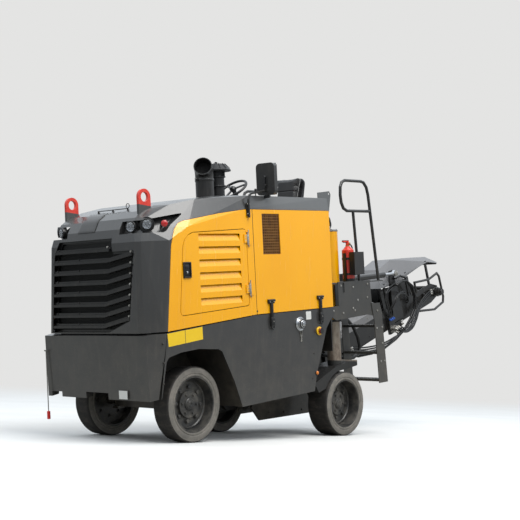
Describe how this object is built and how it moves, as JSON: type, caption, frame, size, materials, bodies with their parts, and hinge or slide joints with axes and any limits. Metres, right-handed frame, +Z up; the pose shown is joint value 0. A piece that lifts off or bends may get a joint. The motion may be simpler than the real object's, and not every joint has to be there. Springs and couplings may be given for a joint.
{
  "type": "cold planer milling machine",
  "caption": "Compact cold planer on solid rubber wheels, with a rear milling drum, a slewing discharge conveyor and an engine hood with side doors.",
  "frame": {"origin": "centre of the bounding box's footprint, on the ground under the wheels", "axes": "+X forwards (grille end), +Y to the machine's left, +Z up"},
  "size_m": [6.0869, 1.5863, 2.7366],
  "materials": {
    "paint_grey": "satin",
    "paint_yellow": "gloss",
    "paint_black": "satin",
    "paint_red": "gloss",
    "tyre_rubber": "matte",
    "rubber": "matte",
    "steel_bare": "satin",
    "chrome_rod": "polished",
    "cast": "rough",
    "plastic_black": "matte",
    "seat_vinyl": "matte",
    "screen_metal": "matte"
  },
  "bodies": {
    "body": {"chassis": "paint_black", "front_bumper": "paint_grey", "side_skirts": "paint_grey", "engine_hood": "paint_grey", "side_panels": "paint_yellow", "vent_screens": "screen_metal", "front_grille": "paint_black", "radiator": "paint_black", "engine_block": "paint_black", "lifting_lugs": "paint_red", "lamp_pods": "plastic_black", "side_fittings": "plastic_black", "rear_gussets": "paint_grey", "sight_rod": "paint_red", "exhaust_elbow": "paint_black", "air_precleaner": "plastic_black", "control_desk": "paint_grey", "seat_base": "plastic_black", "seat_cushion": "seat_vinyl", "seat_back": "seat_vinyl", "mirrors": "plastic_black", "handrails": "paint_black", "platform": "paint_grey", "ladder": "paint_grey", "extinguisher": "paint_red", "front_axle": "paint_black", "leg_sleeves": "paint_yellow", "body_hoses": "rubber", "drum_housing": "paint_black", "conveyor_carrier": "paint_black"},
    "wheel_front_left": {"tyre_front_left": "tyre_rubber", "rim_front_left": "paint_black"},
    "wheel_front_right": {"tyre_front_right": "tyre_rubber", "rim_front_right": "paint_black"},
    "wheel_rear_left": {"tyre_rear_left": "tyre_rubber", "rim_rear_left": "paint_black"},
    "wheel_rear_right": {"tyre_rear_right": "tyre_rubber", "rim_rear_right": "paint_black"},
    "steer_left": {"knuckle_left": "paint_black"},
    "steer_right": {"knuckle_right": "paint_black"},
    "steer_link": {"track_rod": "paint_black"},
    "hand_wheel": {"steering_wheel": "plastic_black"},
    "engine_door_left": {"door_left": "paint_yellow"},
    "engine_door_right": {"door_right": "paint_yellow"},
    "rear_leg_left": {"leg_left": "steel_bare"},
    "rear_leg_right": {"leg_right": "steel_bare"},
    "milling_rotor": {"milling_drum": "cast"},
    "slew_yoke": {"conveyor_yoke": "paint_black"},
    "boom": {"conveyor_boom": "paint_black", "conveyor_belt": "rubber", "belt_rollers": "paint_black", "conveyor_covers": "paint_grey", "boom_hoses": "rubber"},
    "cylinder_barrel": {"lift_barrels": "paint_black"},
    "cylinder_rod": {"lift_rods": "chrome_rod"}
  },
  "joints": [
    {"name": "wheel_front_left_spin", "type": "hinge", "parent": "steer_left", "child": "wheel_front_left", "pos_m": [2.283, 0.52, 0.33], "axis": [0, 1, 0], "continuous": true},
    {"name": "wheel_front_right_spin", "type": "hinge", "parent": "steer_right", "child": "wheel_front_right", "pos_m": [2.283, -0.52, 0.33], "axis": [0, 1, 0], "continuous": true},
    {"name": "wheel_rear_left_spin", "type": "hinge", "parent": "rear_leg_left", "child": "wheel_rear_left", "pos_m": [-0.00405, 0.45, 0.33], "axis": [0, 1, 0], "continuous": true},
    {"name": "wheel_rear_right_spin", "type": "hinge", "parent": "rear_leg_right", "child": "wheel_rear_right", "pos_m": [0.87249, -0.48, 0.33], "axis": [0, 1, 0], "continuous": true},
    {"name": "steer_left_turn", "type": "hinge", "parent": "body", "child": "steer_left", "pos_m": [2.283, 0.385, 0.33], "axis": [0.1219, 0, 0.9925], "range_deg": [-28, 28]},
    {"name": "steer_right_turn", "type": "hinge", "parent": "body", "child": "steer_right", "pos_m": [2.283, -0.385, 0.33], "axis": [0.1219, 0, 0.9925], "range_deg": [-28, 28]},
    {"name": "track_rod_turn", "type": "hinge", "parent": "steer_left", "child": "steer_link", "pos_m": [2.12742, 0.385, 0.29369], "axis": [0.1219, 0, 0.9925], "range_deg": [-28, 28]},
    {"name": "steering_wheel_turn", "type": "hinge", "parent": "body", "child": "hand_wheel", "pos_m": [1.05793, -0.15, 2.48033], "axis": [0.682, 0, 0.7314], "range_deg": [-448, 448]},
    {"name": "door_left_swing", "type": "hinge", "parent": "body", "child": "engine_door_left", "pos_m": [1.75801, 0.73, 1.50272], "axis": [0.1219, 0, 0.9925], "range_deg": [0, 110]},
    {"name": "door_right_swing", "type": "hinge", "parent": "body", "child": "engine_door_right", "pos_m": [1.75801, -0.73, 1.50272], "axis": [-0.1219, 0, -0.9925], "range_deg": [0, 110]},
    {"name": "leg_left_lift", "type": "slide", "parent": "body", "child": "rear_leg_left", "axis": [0.1219, 0, 0.9925], "range_m": [0, 0.26]},
    {"name": "leg_right_lift", "type": "slide", "parent": "body", "child": "rear_leg_right", "axis": [0.1219, 0, 0.9925], "range_m": [0, 0.26]},
    {"name": "milling_drum_spin", "type": "hinge", "parent": "body", "child": "milling_rotor", "pos_m": [0.07868, -0.34, 0.42938], "axis": [0, 1, 0], "continuous": true},
    {"name": "conveyor_slew", "type": "hinge", "parent": "body", "child": "slew_yoke", "pos_m": [-0.62604, -0.34, 1.09019], "axis": [0.1219, 0, 0.9925], "range_deg": [-25, 25]},
    {"name": "conveyor_lift", "type": "hinge", "parent": "slew_yoke", "child": "boom", "pos_m": [-0.53113, -0.34, 0.79643], "axis": [0, 1, 0], "range_deg": [-10, 8]},
    {"name": "lift_barrel_swing", "type": "hinge", "parent": "slew_yoke", "child": "cylinder_barrel", "pos_m": [-0.62422, -0.34, 1.67936], "axis": [0, 1, 0], "range_deg": [-12.8, 10.44]},
    {"name": "lift_rod_slide", "type": "slide", "parent": "cylinder_barrel", "child": "cylinder_rod", "axis": [-0.987, 0, 0.1606], "range_m": [-0.123, 0.1527]}
  ],
  "couplings": [
    {"joint": "steer_right_turn", "follows": "steer_left_turn", "ratio": 1},
    {"joint": "track_rod_turn", "follows": "steer_left_turn", "ratio": -1},
    {"joint": "steering_wheel_turn", "follows": "steer_left_turn", "ratio": 16},
    {"joint": "lift_barrel_swing", "follows": "conveyor_lift", "ratio": 1.18},
    {"joint": "lift_rod_slide", "follows": "conveyor_lift", "m_per_rad": -0.852}
  ]
}
